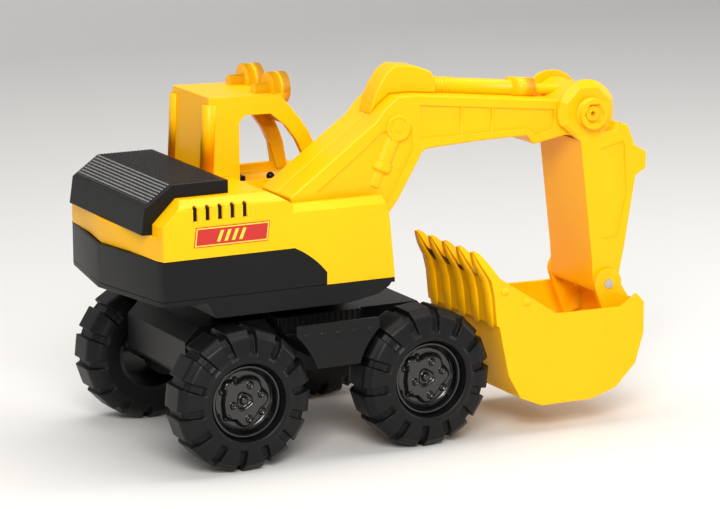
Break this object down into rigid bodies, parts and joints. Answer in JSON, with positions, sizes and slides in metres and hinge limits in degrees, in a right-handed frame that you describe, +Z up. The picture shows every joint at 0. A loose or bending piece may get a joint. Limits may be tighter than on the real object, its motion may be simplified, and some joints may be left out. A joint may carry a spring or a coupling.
{
  "type": "toy wheeled excavator",
  "caption": "Push-along toy wheeled excavator with a turning upper body, open cab, cranked boom, stick and toothed bucket.",
  "frame": {"origin": "on the ground under the middle of the overall length and width", "axes": "+X forward to the arm, +Y to the toy's left where the cab is, +Z up"},
  "size_m": [0.4654, 0.24, 0.3135],
  "materials": {
    "yellow_plastic": "satin moulded polyethylene",
    "black_plastic": "satin moulded",
    "gloss_black_plastic": "gloss",
    "tyre_plastic": "satin, soft moulded",
    "steel": "bright zinc",
    "label": "printed film"
  },
  "bodies": {
    "chassis": {"chassis_frame": "black_plastic", "chassis_pan": "black_plastic", "pan_screws": "steel", "step_plate_right": "black_plastic", "step_plate_left": "black_plastic"},
    "front_wheels": {"front_axle": "steel", "front_right_hub": "gloss_black_plastic", "front_left_hub": "gloss_black_plastic", "front_right_tyre": "tyre_plastic", "front_left_tyre": "tyre_plastic"},
    "rear_wheels": {"rear_axle": "steel", "rear_right_hub": "gloss_black_plastic", "rear_left_hub": "gloss_black_plastic", "rear_right_tyre": "tyre_plastic", "rear_left_tyre": "tyre_plastic"},
    "upper_body": {"slew_tray": "black_plastic", "slew_retainer": "black_plastic", "slew_screw": "steel", "tray_screws": "steel", "counterweight_skirt": "black_plastic", "body_shell": "yellow_plastic", "engine_cover": "black_plastic", "cab_shell": "yellow_plastic", "cab_floor": "black_plastic", "control_lever": "black_plastic", "side_label_right": "label", "side_label_left": "label", "boom_pin": "steel"},
    "boom": {"boom_right_half": "yellow_plastic", "boom_left_half": "yellow_plastic", "boom_screws": "steel", "ram_barrel": "yellow_plastic", "ram_rod": "yellow_plastic"},
    "stick": {"stick_shell": "yellow_plastic", "stick_pin": "yellow_plastic"},
    "bucket": {"bucket_shell": "yellow_plastic", "bucket_pin": "steel"}
  },
  "joints": [
    {"name": "front_wheel_spin", "type": "hinge", "parent": "chassis", "child": "front_wheels", "pos_m": [0.0122, 0, 0.059], "axis": [0, 1, 0], "continuous": true},
    {"name": "rear_wheel_spin", "type": "hinge", "parent": "chassis", "child": "rear_wheels", "pos_m": [-0.1528, 0, 0.059], "axis": [0, 1, 0], "continuous": true},
    {"name": "slew", "type": "hinge", "parent": "chassis", "child": "upper_body", "pos_m": [-0.0703, 0, 0.112], "axis": [0, 0, 1], "range_deg": [-6, 20]},
    {"name": "boom_lift", "type": "hinge", "parent": "upper_body", "child": "boom", "pos_m": [-0.0543, -0.055, 0.179], "axis": [0, 1, 0], "range_deg": [-35, 3]},
    {"name": "stick_swing", "type": "hinge", "parent": "boom", "child": "stick", "pos_m": [0.1767, -0.055, 0.264], "axis": [0, 1, 0], "range_deg": [-55, 3]},
    {"name": "bucket_curl", "type": "hinge", "parent": "stick", "child": "bucket", "pos_m": [0.1937, -0.055, 0.116], "axis": [0, 1, 0], "range_deg": [-15, 32]}
  ]
}
